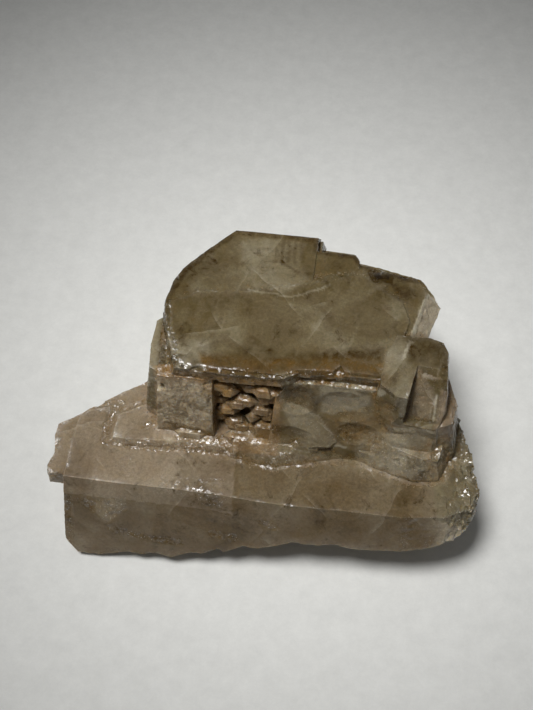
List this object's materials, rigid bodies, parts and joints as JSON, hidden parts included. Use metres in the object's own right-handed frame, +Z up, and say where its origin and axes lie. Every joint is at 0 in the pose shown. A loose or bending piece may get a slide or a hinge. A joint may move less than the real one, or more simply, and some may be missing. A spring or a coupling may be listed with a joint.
{
  "type": "quartz crystal cluster",
  "caption": "Cluster of smoky quartz crystals grown parallel in steps on a broken slab, with a flat underside that it rests on.",
  "frame": {"origin": "centre of the bounding box at the level of the flat underside, on the table", "axes": "+X along the crystals' long c axis, towards the stout upright block and the bevelled end; +Y away from the viewer, from the slab's front face to the back of the cluster; +Z up, square to the level crystal faces"},
  "size_m": [0.1202, 0.1, 0.0509],
  "materials": {
    "smoky_quartz": "translucent smoky to milky quartz, flat lustrous crystal faces with rough stained breaks"
  },
  "bodies": {
    "root": {"quartz_cluster": "smoky_quartz"}
  },
  "joints": []
}
